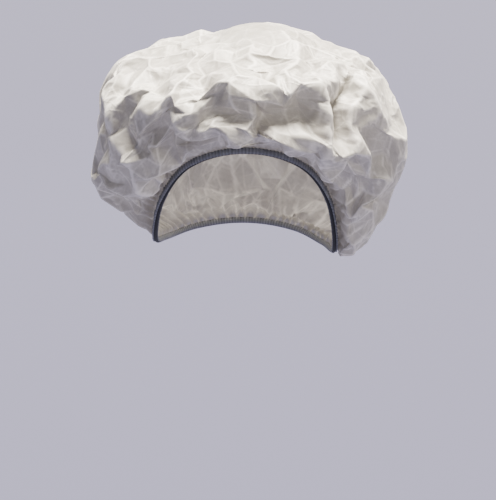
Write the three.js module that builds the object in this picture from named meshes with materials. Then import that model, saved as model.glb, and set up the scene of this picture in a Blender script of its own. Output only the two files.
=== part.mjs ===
// A disposable beret cap of thin white nonwoven cloth, in the puffed form that it has when worn.
// One round of cloth, about 610 mm across when flat, is gathered all round its edge by a dark elastic.
// The edge is folded over the elastic as a narrow ruched hem. Everything is in millimetres, +Z up.
// The front of the cap faces -Y and the wearer's left is +X. The origin is the middle of the head opening.
import * as THREE from "three";

// The head opening, which the elastic draws in to the head: over the brow and ears and under the back of the head.
const OPENING_WIDTH = 160;
const OPENING_LENGTH = 186;
const OPENING_DROP = 124; // the front of the opening lies this much above its back

// The puffed crown. Reaches are measured from the middle of the head opening.
const CROWN_RISE = 80; // top of the crown above the front of the opening
const CROWN_WIDTH = 268;
const CROWN_FRONT_REACH = 116;
const CROWN_BACK_REACH = 142;
const CROWN_TOP_ASIDE = 12; // the highest point lies towards the wearer's left
const CROWN_TOP_BACK = 14; // and behind the middle of the opening

// The cloth, the elastic and the hem around it.
const CLOTH = 1.3;
const HEM_CLOTH = 1.0;
const ELASTIC_DIAMETER = 2.6;
const HEM_HEIGHT = 4.6;
const ELASTIC_SHOWS = 1.1; // how far the elastic stands out of the hem's open edge
const GAP = 0.3; // between pieces
const COLLAR_HEIGHT = 3.2; // the cloth stands up this far above the hem before it turns out
const GATHERS = 60; // pleats round the opening
const GATHER_DEPTH = 3.4;
const HEM_RUFFLE = 0.9;

// Mesh fineness.
const GATHER_SIDES = 2 * GATHERS;
const ELASTIC_STEPS = 96;
const ELASTIC_SIDES = 6;
const FOLD_STEPS = 5; // straight stretches along one fold

// The form of the crown, one row for each 30 degrees round the head from the front towards the wearer's left.
// band, and each column ending in Up, is a height as a share of the whole cap's, from the opening's lowest level.
// Each column ending in Out is a share of the way from the opening out to the crown's full reach.
const STATION_COLUMNS = [
  "band", "tuckOut", "tuckUp", "lobeOut", "lobeUp", "bellyOut", "bellyUp", "shoulderOut", "shoulderUp", "ringUp",
];
const STATION_ROWS = [
  [0.614, 0.4, 0.625, 0.9, 0.67, 1.05, 0.76, 0.45, 0.885, 0.95],
  [0.535, 0.45, 0.545, 0.95, 0.59, 1.2, 0.7, 0.6, 0.875, 0.945],
  [0.317, 0.45, 0.3, 0.9, 0.38, 1.06, 0.58, 0.62, 0.845, 0.94],
  [0.03, 0.2, -0.03, 0.72, 0.15, 1.02, 0.52, 0.62, 0.83, 0.925],
  [-0.02, 0.3, -0.03, 0.84, 0.13, 1.0, 0.44, 0.6, 0.815, 0.925],
  [-0.01, 0.4, -0.01, 0.9, 0.12, 1.0, 0.4, 0.62, 0.82, 0.93],
  [0.0, 0.5, 0.03, 0.92, 0.14, 1.0, 0.38, 0.62, 0.82, 0.94],
  [0.0, 0.5, 0.05, 0.92, 0.16, 1.0, 0.38, 0.62, 0.82, 0.935],
  [0.01, 0.5, 0.1, 0.92, 0.2, 1.0, 0.4, 0.66, 0.83, 0.93],
  [0.08, 0.46, 0.2, 0.92, 0.28, 1.0, 0.42, 0.72, 0.82, 0.92],
  [0.317, 0.42, 0.355, 0.9, 0.42, 1.05, 0.56, 0.66, 0.84, 0.93],
  [0.535, 0.42, 0.56, 0.85, 0.61, 1.1, 0.7, 0.58, 0.865, 0.94],
];
const RING = 0.7; // the ring round the top, as a share of the opening's radius
// Where the table's columns lie on the way from the hem (0) to the top (1).
const KNOTS = { edge: 0, collar: 0.03, tuck: 0.1, lobe: 0.24, belly: 0.42, shoulder: 0.64, ring: 0.82, top: 1 };

// The main folds, dents and ridges. A fold is a straight line on the crown from one place to another, each place
// given by its azimuth in degrees and its share of the way up. rise is how far its crest stands out of the form,
// or in where negative, and reach is how far to each side it dies out, both as shares of the crown's half width.
const FOLD_COLUMNS = ["fromAzimuth", "fromUp", "toAzimuth", "toUp", "rise", "reach"];
const FOLD_ROWS = [
  // the brow, where the flat top turns down to the front
  [-50, 0.64, -20, 0.7, 0.03, 0.16],
  [-18, 0.68, 4, 0.62, 0.035, 0.15],
  [4, 0.62, 30, 0.63, 0.04, 0.16],
  // the long dent under the brow and the roll of cloth over the hem
  [-10, 0.5, 6, 0.45, -0.035, 0.16],
  [6, 0.47, 22, 0.54, -0.065, 0.19],
  [12, 0.33, 24, 0.34, 0.045, 0.15],
  // the upright ridge at the wearer's left temple
  [32, 0.6, 31, 0.36, 0.04, 0.15],
  [31, 0.36, 38, 0.14, 0.03, 0.15],
  // the deep tuck beside it, from the crown's shoulder down
  [72, 0.72, 50, 0.66, -0.05, 0.15],
  [50, 0.66, 39, 0.58, -0.065, 0.19],
  [39, 0.58, 38, 0.48, -0.065, 0.19],
  [46, 0.74, 42, 0.64, 0.03, 0.15],
  [54, 0.66, 58, 0.54, 0.035, 0.15],
  [58, 0.54, 72, 0.44, 0.03, 0.15],
  [48, 0.5, 62, 0.36, -0.035, 0.15],
  [46, 0.3, 60, 0.16, -0.035, 0.15],
  [64, 0.3, 78, 0.12, 0.03, 0.15],
  // the dents and ridges at the wearer's right temple
  [-53, 0.68, -38, 0.6, -0.06, 0.19],
  [-38, 0.6, -24, 0.66, -0.06, 0.19],
  [-38, 0.57, -22, 0.72, 0.04, 0.15],
  [-40, 0.56, -28, 0.5, 0.04, 0.15],
  [-28, 0.5, -6, 0.32, 0.05, 0.15],
  [-6, 0.32, 6, 0.22, 0.03, 0.15],
  [-34, 0.36, -12, 0.24, -0.045, 0.16],
  [-46, 0.6, -44, 0.48, 0.04, 0.15],
  [-44, 0.48, -54, 0.3, -0.045, 0.16],
  [-78, 0.6, -64, 0.55, 0.03, 0.15],
  [-64, 0.55, -50, 0.37, 0.04, 0.15],
  [-50, 0.37, -52, 0.12, 0.035, 0.15],
  [-76, 0.5, -74, 0.28, -0.04, 0.16],
  // soft ridges over the top
  [-60, 0.84, -5, 0.88, 0.02, 0.16],
  [16, 0.72, 60, 0.93, 0.03, 0.15],
  [120, 0.9, -150, 0.92, 0.03, 0.2],
  [-110, 0.86, -88, 0.7, 0.03, 0.16],
  // the sides and back, where the cloth hangs in broad folds from the shoulder to the hem
  [94, 0.66, 88, 0.3, -0.04, 0.16],
  [104, 0.74, 114, 0.42, 0.03, 0.16],
  [114, 0.42, 104, 0.14, 0.03, 0.15],
  [128, 0.6, 136, 0.28, -0.045, 0.2],
  [146, 0.76, 156, 0.5, 0.025, 0.18],
  [156, 0.5, 142, 0.14, 0.03, 0.16],
  [170, 0.52, 166, 0.2, -0.045, 0.2],
  [178, 0.78, 190, 0.56, 0.02, 0.18],
  [190, 0.56, 184, 0.16, 0.03, 0.16],
  [208, 0.62, 202, 0.22, -0.045, 0.2],
  [230, 0.74, 218, 0.5, 0.025, 0.17],
  [218, 0.5, 226, 0.14, 0.03, 0.16],
  [244, 0.56, 238, 0.24, -0.04, 0.18],
  [262, 0.76, 254, 0.46, 0.025, 0.16],
  [254, 0.46, 260, 0.2, 0.025, 0.15],
  [272, 0.62, 276, 0.36, -0.035, 0.16],
  // a low crossing dent behind the top
  [140, 0.78, 206, 0.74, -0.035, 0.22],
];

// The rings of the crown's mesh, from the hem to the top: where each run of rings ends, how many rings it has and
// how many sides each ring has.
const RING_RUNS = [
  { upTo: 0.1, rings: 4, sides: GATHER_SIDES },
  { upTo: 0.7, rings: 14, sides: 84 },
  { upTo: 0.86, rings: 3, sides: 60 },
  { upTo: 0.94, rings: 1, sides: 30 },
];

const CAP_HEIGHT = OPENING_DROP + CROWN_RISE;
const HALF_WIDTH = CROWN_WIDTH / 2;
const DEGREE = Math.PI / 180;
const FULL_TURN = 360;

function named(columns, rows) {
  return rows.map((row) => Object.fromEntries(columns.map((column, i) => [column, row[i]])));
}

const STATIONS = named(STATION_COLUMNS, STATION_ROWS);
const FOLDS = named(FOLD_COLUMNS, FOLD_ROWS);

// Reads one column of the stations at any azimuth, as a smooth closed curve through the rows.
function station(column, azimuth) {
  const place = THREE.MathUtils.euclideanModulo(azimuth, FULL_TURN) / (FULL_TURN / STATIONS.length);
  const row = Math.floor(place);
  const f = place - row;
  const [before, here, next, after] = [-1, 0, 1, 2].map(
    (k) => STATIONS[THREE.MathUtils.euclideanModulo(row + k, STATIONS.length)][column],
  );
  const bend = 2 * before - 5 * here + 4 * next - after;
  const turn = 3 * here - before - 3 * next + after;
  return 0.5 * (2 * here + (next - before) * f + bend * f * f + turn * f * f * f);
}

function ellipseRadius(azimuth, halfWidth, halfLength) {
  const across = Math.sin(azimuth * DEGREE) / halfWidth;
  const along = Math.cos(azimuth * DEGREE) / halfLength;
  return 1 / Math.hypot(across, along);
}

function openingRadius(azimuth) {
  return ellipseRadius(azimuth, OPENING_WIDTH / 2, OPENING_LENGTH / 2);
}

function crownReach(azimuth) {
  const inFront = Math.cos(azimuth * DEGREE) > 0;
  return ellipseRadius(azimuth, HALF_WIDTH, inFront ? CROWN_FRONT_REACH : CROWN_BACK_REACH);
}

function heightOf(share) {
  return share * CAP_HEIGHT - OPENING_DROP / 2;
}

function outward(azimuth) {
  return new THREE.Vector3(Math.sin(azimuth * DEGREE), -Math.cos(azimuth * DEGREE), 0);
}

// The line that the elastic follows round the head.
function elasticPoint(azimuth) {
  return outward(azimuth)
    .multiplyScalar(openingRadius(azimuth))
    .setZ(heightOf(station("band", azimuth)));
}

// Directions at the elastic: out from the head, and down across the elastic, away from the crown.
function elasticFrame(azimuth) {
  const step = 0.5;
  const along = elasticPoint(azimuth + step).sub(elasticPoint(azimuth - step)).normalize();
  const out = outward(azimuth).addScaledVector(along, -outward(azimuth).dot(along)).normalize();
  return { origin: elasticPoint(azimuth), out, down: along.clone().cross(out) };
}

// A point given across the elastic: how far out from the head, and how far down from the elastic's middle.
function acrossElastic(azimuth, out, down) {
  const frame = elasticFrame(azimuth);
  return frame.origin.addScaledVector(frame.out, out).addScaledVector(frame.down, down);
}

const HEM_BOTTOM = ELASTIC_DIAMETER / 2 - ELASTIC_SHOWS;
const HEM_TOP = HEM_BOTTOM - HEM_HEIGHT;
const CROWN_EDGE = HEM_TOP - GAP;

// The crown's smooth form: the point at an azimuth and a share of the way from the hem up to the top.
function formPoint(azimuth, up) {
  const reachTo = (share) =>
    openingRadius(azimuth) + share * (crownReach(azimuth) - openingRadius(azimuth));
  const place = (radius, share, knot, side = azimuth) =>
    outward(side)
      .multiplyScalar(radius)
      .setZ(heightOf(share))
      .add(new THREE.Vector3(CROWN_TOP_ASIDE, CROWN_TOP_BACK, 0).multiplyScalar(knot * knot));
  const read = (column) => station(column, azimuth);
  const ring = RING * openingRadius(azimuth);
  const opposite = azimuth + FULL_TURN / 2;
  const controls = [
    [KNOTS.edge, acrossElastic(azimuth, 0, CROWN_EDGE)],
    [KNOTS.collar, acrossElastic(azimuth, COLLAR_HEIGHT, CROWN_EDGE - COLLAR_HEIGHT)],
    [KNOTS.tuck, place(reachTo(read("tuckOut")), read("tuckUp"), KNOTS.tuck)],
    [KNOTS.lobe, place(reachTo(read("lobeOut")), read("lobeUp"), KNOTS.lobe)],
    [KNOTS.belly, place(reachTo(read("bellyOut")), read("bellyUp"), KNOTS.belly)],
    [KNOTS.shoulder, place(reachTo(read("shoulderOut")), read("shoulderUp"), KNOTS.shoulder)],
    [KNOTS.ring, place(ring, read("ringUp"), KNOTS.ring)],
    [KNOTS.top, place(0, 1, KNOTS.top)],
    [2 - KNOTS.ring, place(RING * openingRadius(opposite), station("ringUp", opposite), KNOTS.ring, opposite)],
  ];
  return smoothThrough(controls, up);
}

// A smooth curve through control points at uneven knots. The last control only shapes the curve's end.
function smoothThrough(controls, at) {
  const last = controls.length - 2;
  let k = 0;
  while (k < last - 1 && at > controls[k + 1][0]) k += 1;
  const slope = (i) => {
    const [from, to] = [Math.max(i - 1, 0), i + 1];
    return controls[to][1].clone().sub(controls[from][1]).divideScalar(controls[to][0] - controls[from][0]);
  };
  const span = controls[k + 1][0] - controls[k][0];
  const f = (at - controls[k][0]) / span;
  const [f2, f3] = [f * f, f * f * f];
  return new THREE.Vector3()
    .addScaledVector(controls[k][1], 2 * f3 - 3 * f2 + 1)
    .addScaledVector(slope(k), (f3 - 2 * f2 + f) * span)
    .addScaledVector(controls[k + 1][1], 3 * f2 - 2 * f3)
    .addScaledVector(slope(k + 1), (f3 - f2) * span);
}

function formNormal(azimuth, up) {
  if (up === KNOTS.edge) return elasticFrame(azimuth).out;
  const stepUp = 0.004;
  const stepRound = 1;
  const below = Math.min(up, 1 - 2 * stepUp);
  const rising = formPoint(azimuth, below + stepUp).sub(formPoint(azimuth, Math.max(below - stepUp, 0)));
  const round = formPoint(azimuth + stepRound, below).sub(formPoint(azimuth - stepRound, below));
  return round.cross(rising).normalize();
}

// Each fold as a run of points on the smooth form.
const FOLD_LINES = FOLDS.map((fold) => {
  const points = [];
  for (let i = 0; i <= FOLD_STEPS; i += 1) {
    const f = i / FOLD_STEPS;
    const azimuth = THREE.MathUtils.lerp(fold.fromAzimuth, turnedNear(fold.toAzimuth, fold.fromAzimuth), f);
    points.push(formPoint(azimuth, THREE.MathUtils.lerp(fold.fromUp, fold.toUp, f)));
  }
  return { points, rise: fold.rise * HALF_WIDTH, reach: fold.reach * HALF_WIDTH };
});

// The azimuth as the nearest turn to another one, so that a fold takes the short way round.
function turnedNear(azimuth, other) {
  return other + THREE.MathUtils.euclideanModulo(azimuth - other + FULL_TURN / 2, FULL_TURN) - FULL_TURN / 2;
}

function distanceToLine(point, line) {
  const nearest = new THREE.Vector3();
  let best = Infinity;
  for (let i = 0; i + 1 < line.length; i += 1) {
    new THREE.Line3(line[i], line[i + 1]).closestPointToPoint(point, true, nearest);
    best = Math.min(best, nearest.distanceTo(point));
  }
  return best;
}

// How far the folds push the cloth out of the smooth form, or in where negative: the highest ridge and the deepest
// dent that reach this place, so that folds which meet end to end don't add up.
function foldRise(point) {
  let [ridge, dent] = [0, 0];
  for (const fold of FOLD_LINES) {
    const away = distanceToLine(point, fold.points);
    const rise = fold.rise * (1 - THREE.MathUtils.smoothstep(away, 0, fold.reach));
    ridge = Math.max(ridge, rise);
    dent = Math.min(dent, rise);
  }
  return ridge + dent;
}

// The gathers stand fully just above the hem and die out on the way up. At the edge they are as deep as the hem's.
const GATHER_FADE = 0.2;
const GATHER_START = 0.03;
function gatherDepth(up) {
  const fade = Math.max(0, 1 - up / GATHER_FADE);
  const start = Math.min(1, up / GATHER_START);
  return THREE.MathUtils.lerp(HEM_RUFFLE / 2, (GATHER_DEPTH / 2) * fade * fade, start);
}

function gatherWave(azimuth) {
  return Math.cos(azimuth * GATHERS * DEGREE);
}

// The outer and the inner face of the cloth at one place.
function clothPair(azimuth, up) {
  const point = formPoint(azimuth, up);
  const normal = formNormal(azimuth, up);
  const foldsFrom = THREE.MathUtils.smoothstep(up, KNOTS.collar, KNOTS.tuck);
  const rise = foldsFrom * foldRise(point) + gatherDepth(up) * gatherWave(azimuth);
  const outer = point.clone().addScaledVector(normal, rise + CLOTH / 2);
  return { outer, inner: outer.clone().addScaledVector(normal, -CLOTH) };
}

// Collects triangles between rings of points. An inner face is the same triangles turned to face the other way.
class Skin {
  constructor() {
    this.positions = [];
  }

  triangle(a, b, c, inner = false) {
    for (const p of inner ? [a, c, b] : [a, b, c]) this.positions.push(p.x, p.y, p.z);
  }

  // Joins two closed rings that may have different numbers of points, both starting at azimuth 0.
  join(lower, upper, inner) {
    let [i, j] = [0, 0];
    while (i < lower.length || j < upper.length) {
      const [a, b] = [lower[i % lower.length], upper[j % upper.length]];
      const lowerFirst = j >= upper.length || (i < lower.length && (i + 1) / lower.length <= (j + 1) / upper.length);
      if (lowerFirst) {
        i += 1;
        this.triangle(a, lower[i % lower.length], b, inner);
      } else {
        j += 1;
        this.triangle(a, upper[j % upper.length], b, inner);
      }
    }
  }

  fan(ring, top, inner) {
    ring.forEach((point, i) => this.triangle(point, ring[(i + 1) % ring.length], top, inner));
  }

  geometry() {
    const geometry = new THREE.BufferGeometry();
    geometry.setAttribute("position", new THREE.Float32BufferAttribute(this.positions, 3));
    geometry.computeVertexNormals();
    return geometry;
  }
}

function ringLevels() {
  const levels = [{ up: 0, sides: RING_RUNS[0].sides }];
  let from = 0;
  for (const run of RING_RUNS) {
    for (let i = 1; i <= run.rings; i += 1) {
      levels.push({ up: THREE.MathUtils.lerp(from, run.upTo, i / run.rings), sides: run.sides });
    }
    from = run.upTo;
  }
  return levels;
}

function crownGeometry() {
  const rings = ringLevels().map(({ up, sides }) => {
    const pairs = Array.from({ length: sides }, (_, i) => clothPair((i * FULL_TURN) / sides, up));
    return { outer: pairs.map((pair) => pair.outer), inner: pairs.map((pair) => pair.inner) };
  });
  const top = clothPair(0, 1);
  const skin = new Skin();
  rings.slice(1).forEach((ring, i) => {
    skin.join(rings[i].outer, ring.outer, false);
    skin.join(rings[i].inner, ring.inner, true);
  });
  const last = rings[rings.length - 1];
  skin.fan(last.outer, top.outer, false);
  skin.fan(last.inner, top.inner, true);
  skin.join(rings[0].inner, rings[0].outer, false);
  return skin.geometry();
}

// A closed loop round the head with the same section everywhere, apart from what the section itself varies.
// sectionAt gives the section's corners as pairs of out and down, in order round it.
function loopGeometry(steps, sectionAt) {
  const sections = Array.from({ length: steps }, (_, i) => {
    const azimuth = (i * FULL_TURN) / steps;
    return sectionAt(azimuth).map(([out, down]) => acrossElastic(azimuth, out, down));
  });
  const skin = new Skin();
  sections.forEach((section, i) => {
    const next = sections[(i + 1) % steps];
    section.forEach((corner, k) => {
      const after = (k + 1) % section.length;
      skin.triangle(corner, next[k], section[after]);
      skin.triangle(section[after], next[k], next[after]);
    });
  });
  return skin.geometry();
}

// The hem is a fold of cloth over the elastic, open downwards. Its two layers meet above the elastic in a seam.
// The outer layer is ruffled.
function hemSection(azimuth) {
  const inside = ELASTIC_DIAMETER / 2 + GAP;
  const outside = inside + HEM_CLOTH;
  const seam = HEM_CLOTH;
  const ruffle = (HEM_RUFFLE * (1 + gatherWave(azimuth))) / 2;
  return [
    [inside, HEM_BOTTOM],
    [outside + ruffle, HEM_BOTTOM],
    [outside + ruffle, HEM_TOP / 2],
    [seam, HEM_TOP],
    [-seam, HEM_TOP],
    [-outside, HEM_TOP / 2],
    [-outside, HEM_BOTTOM],
    [-inside, HEM_BOTTOM],
    [-inside, -inside],
    [inside, -inside],
  ];
}

function elasticSection() {
  const radius = ELASTIC_DIAMETER / 2;
  return Array.from({ length: ELASTIC_SIDES }, (_, i) => {
    const angle = (-i * FULL_TURN * DEGREE) / ELASTIC_SIDES;
    return [radius * Math.cos(angle), radius * Math.sin(angle)];
  });
}

const clothWhite = new THREE.MeshStandardMaterial({ color: 0xe9e8e4, roughness: 0.75, metalness: 0 });
const hemGrey = new THREE.MeshStandardMaterial({ color: 0x6d7480, roughness: 0.8, metalness: 0 });
const elasticDark = new THREE.MeshStandardMaterial({ color: 0x24282d, roughness: 0.7, metalness: 0 });

function piece(name, geometry, material) {
  const mesh = new THREE.Mesh(geometry, material);
  mesh.name = name;
  return mesh;
}

const cap = new THREE.Group();
cap.add(piece("crown", crownGeometry(), clothWhite));
cap.add(piece("gathered_hem", loopGeometry(GATHER_SIDES, hemSection), hemGrey));
cap.add(piece("elastic_loop", loopGeometry(ELASTIC_STEPS, elasticSection), elasticDark));

export default cap;
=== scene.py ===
"""Looks of a disposable beret cap: thin crumpled nonwoven cloth gathered on a dark elastic.

Tables like the solid model's give the cap's smooth form and its main folds. A cloth simulation then
lets the cloth buckle between them. Everything is in metres, +Z up, with the front towards -Y and the
wearer's left towards +X.
"""

import math

import bpy
import numpy as np
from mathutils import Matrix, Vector
from mathutils.kdtree import KDTree


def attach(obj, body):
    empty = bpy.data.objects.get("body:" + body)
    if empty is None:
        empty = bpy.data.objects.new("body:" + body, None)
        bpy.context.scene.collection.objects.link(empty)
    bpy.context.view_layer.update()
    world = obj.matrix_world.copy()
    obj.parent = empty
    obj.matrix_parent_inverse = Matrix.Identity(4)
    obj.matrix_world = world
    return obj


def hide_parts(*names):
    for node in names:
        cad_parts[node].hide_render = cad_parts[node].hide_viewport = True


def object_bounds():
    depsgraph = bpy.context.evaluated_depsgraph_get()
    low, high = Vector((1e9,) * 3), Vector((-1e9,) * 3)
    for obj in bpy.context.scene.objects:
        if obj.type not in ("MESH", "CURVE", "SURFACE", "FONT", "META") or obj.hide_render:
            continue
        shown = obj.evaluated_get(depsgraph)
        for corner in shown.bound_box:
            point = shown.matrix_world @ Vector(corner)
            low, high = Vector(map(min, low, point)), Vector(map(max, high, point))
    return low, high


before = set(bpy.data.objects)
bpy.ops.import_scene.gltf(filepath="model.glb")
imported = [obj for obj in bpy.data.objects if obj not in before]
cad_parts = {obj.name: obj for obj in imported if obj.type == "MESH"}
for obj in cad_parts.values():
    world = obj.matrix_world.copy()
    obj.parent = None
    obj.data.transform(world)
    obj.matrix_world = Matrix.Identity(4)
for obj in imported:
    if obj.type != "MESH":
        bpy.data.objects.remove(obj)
CAD_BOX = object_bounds()

bl_info = {
    "name": "Disposable beret cap",
    "version": (1, 0, 0),
    "blender": (4, 5, 0),
    "location": "View3D > Sidebar > Cap",
    "description": "Builds a puffed disposable cap of nonwoven cloth with a gathered elastic edge",
    "category": "Add Mesh",
}

MM = 0.001
FULL_TURN = 360.0

# The crown's form, one row for each 30 degrees round the opening from the front towards +X.
# band (the elastic's middle) and the columns ending in _up are heights above the opening's lowest
# level, as shares of the cap's height. The columns ending in _out are shares of the way from the
# opening out to the crown's full reach.
STATION_COLUMNS = (
    "band", "tuck_out", "tuck_up", "lobe_out", "lobe_up", "belly_out", "belly_up",
    "shoulder_out", "shoulder_up", "ring_up",
)
STATION_ROWS = (
    (0.614, 0.4, 0.668, 0.9, 0.7, 1.05, 0.76, 0.45, 0.885, 0.95),
    (0.535, 0.45, 0.574, 0.953, 0.598, 1.201, 0.699, 0.601, 0.875, 0.948),
    (0.317, 0.45, 0.3, 0.869, 0.389, 1.054, 0.586, 0.617, 0.845, 0.941),
    (0.03, 0.2, 0.01, 0.662, 0.176, 1.012, 0.534, 0.548, 0.795, 0.918),
    (-0.02, 0.3, 0, 0.844, 0.13, 1.009, 0.453, 0.573, 0.78, 0.913),
    (-0.01, 0.4, -0.01, 0.899, 0.12, 1.001, 0.405, 0.596, 0.794, 0.925),
    (0, 0.5, 0.03, 0.92, 0.14, 1.001, 0.38, 0.627, 0.821, 0.923),
    (0, 0.5, 0.05, 0.922, 0.156, 1.001, 0.383, 0.627, 0.813, 0.914),
    (0.01, 0.5, 0.1, 0.904, 0.208, 1.003, 0.399, 0.627, 0.798, 0.923),
    (0.08, 0.46, 0.2, 0.86, 0.322, 1.005, 0.415, 0.694, 0.81, 0.92),
    (0.317, 0.42, 0.355, 0.907, 0.415, 1.048, 0.563, 0.641, 0.84, 0.93),
    (0.535, 0.42, 0.572, 0.85, 0.61, 1.1, 0.7, 0.581, 0.865, 0.94),
)
RING = 0.7  # the ring round the top, as a share of the opening's radius
# Where the columns lie on the way from the hem (0) to the top (1).
EDGE, COLLAR, TUCK, LOBE, BELLY, SHOULDER, RING_AT, TOP = 0.0, 0.03, 0.1, 0.24, 0.42, 0.64, 0.82, 1.0

# Main folds: from one place to another by azimuth (degrees) and share of the way up. rise (out, or in
# where negative) and reach (how far to each side it dies out) are shares of the crown's half width.
# crisp is 1 for a sharp crest and 0 for a soft one.
FOLD_COLUMNS = ("from_azimuth", "from_up", "to_azimuth", "to_up", "rise", "reach", "crisp")
FOLD_ROWS = (
    # the brow, where the flat top turns down to the front
    (-50, 0.64, -20, 0.7, 0.03, 0.16, 0.5),
    (-18, 0.68, 4, 0.62, 0.035, 0.15, 0.6),
    (4, 0.62, 30, 0.63, 0.04, 0.16, 0.6),
    # the long dent under the brow and the roll of cloth over the hem
    (-10, 0.5, 6, 0.45, -0.035, 0.16, 0.2),
    (6, 0.47, 22, 0.54, -0.065, 0.19, 0.1),
    (12, 0.33, 24, 0.34, 0.045, 0.15, 0.2),
    # the upright ridge at the wearer's left temple
    (32, 0.6, 31, 0.36, 0.04, 0.12, 0.6),
    (31, 0.36, 38, 0.14, 0.03, 0.12, 0.6),
    # the deep tuck beside it, from the crown's shoulder down
    (72, 0.74, 52, 0.67, -0.06, 0.09, 1.0),
    (52, 0.67, 39, 0.58, -0.085, 0.11, 1.0),
    (39, 0.58, 38, 0.46, -0.08, 0.11, 1.0),
    (46, 0.74, 42, 0.64, 0.03, 0.12, 0.5),
    (54, 0.66, 58, 0.54, 0.035, 0.12, 0.8),
    (58, 0.54, 72, 0.44, 0.03, 0.12, 0.8),
    (48, 0.5, 62, 0.36, -0.035, 0.15, 0.2),
    (46, 0.3, 60, 0.16, -0.035, 0.13, 0.6),
    # the dents and ridges at the wearer's right temple
    (-53, 0.68, -38, 0.6, -0.06, 0.16, 0.2),
    (-38, 0.6, -24, 0.66, -0.06, 0.16, 0.2),
    (-38, 0.57, -22, 0.72, 0.04, 0.09, 0.9),
    (-40, 0.56, -28, 0.5, 0.04, 0.12, 0.9),
    (-28, 0.5, -6, 0.32, 0.05, 0.13, 0.9),
    (-6, 0.34, 4, 0.29, 0.025, 0.1, 0.8),
    (-34, 0.36, -12, 0.24, -0.045, 0.16, 0.1),
    (-46, 0.6, -44, 0.48, 0.04, 0.12, 0.7),
    (-44, 0.48, -54, 0.3, -0.045, 0.16, 0.2),
    (-78, 0.6, -64, 0.55, 0.03, 0.12, 0.9),
    (-64, 0.55, -50, 0.37, 0.04, 0.12, 0.9),
    (-50, 0.37, -52, 0.12, 0.035, 0.12, 0.9),
    (-76, 0.5, -74, 0.28, -0.02, 0.16, 0.1),
    # soft ridges over the top
    (-60, 0.84, -5, 0.88, 0.02, 0.14, 0.9),
    (16, 0.72, 60, 0.93, 0.03, 0.14, 0.9),
    (120, 0.9, -150, 0.92, 0.03, 0.2, 0.5),
    (-110, 0.86, -88, 0.7, 0.015, 0.16, 0.6),
    # the sides and back, where the cloth hangs in broad folds from the shoulder to the hem
    (94, 0.66, 88, 0.3, -0.04, 0.16, 0.3),
    (104, 0.74, 114, 0.42, 0.03, 0.16, 0.7),
    (114, 0.42, 104, 0.14, 0.03, 0.15, 0.8),
    (128, 0.6, 136, 0.28, -0.045, 0.2, 0.2),
    (146, 0.76, 156, 0.5, 0.025, 0.18, 0.7),
    (156, 0.5, 142, 0.14, 0.03, 0.16, 0.8),
    (170, 0.52, 166, 0.2, -0.045, 0.2, 0.2),
    (170, 0.64, 168, 0.86, 0.035, 0.42, 1.0),
    (190, 0.56, 184, 0.16, 0.03, 0.16, 0.8),
    (208, 0.62, 202, 0.22, -0.045, 0.2, 0.2),
    (230, 0.74, 218, 0.5, 0.025, 0.17, 0.7),
    (218, 0.5, 226, 0.14, 0.03, 0.16, 0.8),
    (244, 0.56, 238, 0.24, -0.04, 0.18, 0.2),
    (262, 0.76, 254, 0.46, 0.025, 0.16, 0.7),
    (254, 0.46, 260, 0.2, 0.025, 0.15, 0.8),
    (272, 0.62, 276, 0.36, -0.035, 0.16, 0.2),
    # a low crossing dent behind the top
    (192, 0.78, 226, 0.74, -0.025, 0.2, 0.2),
)
FOLD_STEPS = 5  # straight stretches along one fold
MARKED_CRISP = 0.8  # folds at least this crisp also show as a pale line along a ridge, or as painted shade along a tuck
PALE_REACH, TUCK_SHADE_REACH = 2.6 * MM, 4.5 * MM  # to each side of such a ridge, and of such a tuck's painted shade

# The coarse cloth that buckles into facets.
FACET = 15.2 * MM  # between its points
FACET_AT_HEM = 8.0 * MM
FINE_UP = 0.16  # share of the way up from which its points have their full spacing
RING_SPACING = 0.9  # from ring to ring, as a share of the spacing along a ring
FEWEST_SIDES = 8
UNEVEN = 0.3  # most chance shift of a point, as a share of the spacing
FIRST_BUMPS = 1.5 * MM  # chance unevenness from which the buckling starts

# Stages of the simulation: growth in the cloth's plane, bending stiffness, rounds of smoothing that find
# the broad movement, which is taken out again, and splits of the mesh afterwards.
CLOTH_STAGES = ((0.2, 20.0, 8, 2), (0.09, 5.0, 24, 1))
CLOTH_QUALITY = 5
CLOTH_FRAMES = 8
# How firmly the cloth keeps its place: everywhere, and how much more at the hem and over the top.
HOLD, HOLD_AT_HEM, HOLD_OVER_TOP = 0.16, 0.5, 0.25
FIXED_UP = 0.002  # below this share of the way up the cloth is fixed
SOFTENING = 0.8  # how much each split evens the cloth in its softest patches

# Pleats that run out of the hem: how many, how deep, and up to which share of the way up.
GATHERS, GATHER_DEPTH, GATHERS_UP = 64, 4.0 * MM, 0.25
RUCHES, RUCHE_DEPTH, NEAR_HEM = 130, 0.7 * MM, 0.06
# The finest creases: how wide their facets are, how high their ridges, and how wide as a share of a facet.
CELL, CELL_RISE, CELL_RIDGE = 14 * MM, 0.6 * MM, 0.55
POINT_SPACING = 0.0018  # about how far the finished crown's points lie apart
PATCH_WAVES = 8
PATCH_TURNS = (60, 150)  # least and most of such a wave, in radians to the metre

# Where something sets in and where it is full, as shares of the way up.
BUMPS_FROM = (0, 0.05)
RUCHES_FROM = (0, 0.01)
CREASES_FROM, BROW_DELAY = (0.02, 0.12), (0.06, 0.08)  # and how much further up both lie at the brow
FINE_CREASES_FROM = (0.04, 0.14)
HELD_TOP, CALM_TOP, CALM_CENTER = (0.6, 0.8), (0.62, 0.8), (0.84, 0.94)
EVEN_TOP, EVEN_ROUNDS = 0.98, 6  # the pole is smoothed above this share
# The same for how far ahead, or behind, a place lies, as a cosine, and for the patches with fine creases.
BROW, BACK, CREASED_PATCHES = (0.75, 0.97), (0.2, 0.8), (0.5, 0.65)
# How much flatter the gathers are at the brow, and the creases over the top, at the back and round the pole.
BROW_CALM, TOP_CALM, BACK_CALM, CENTER_CALM = 0.75, 0.35, 0.15, 0.85
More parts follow.
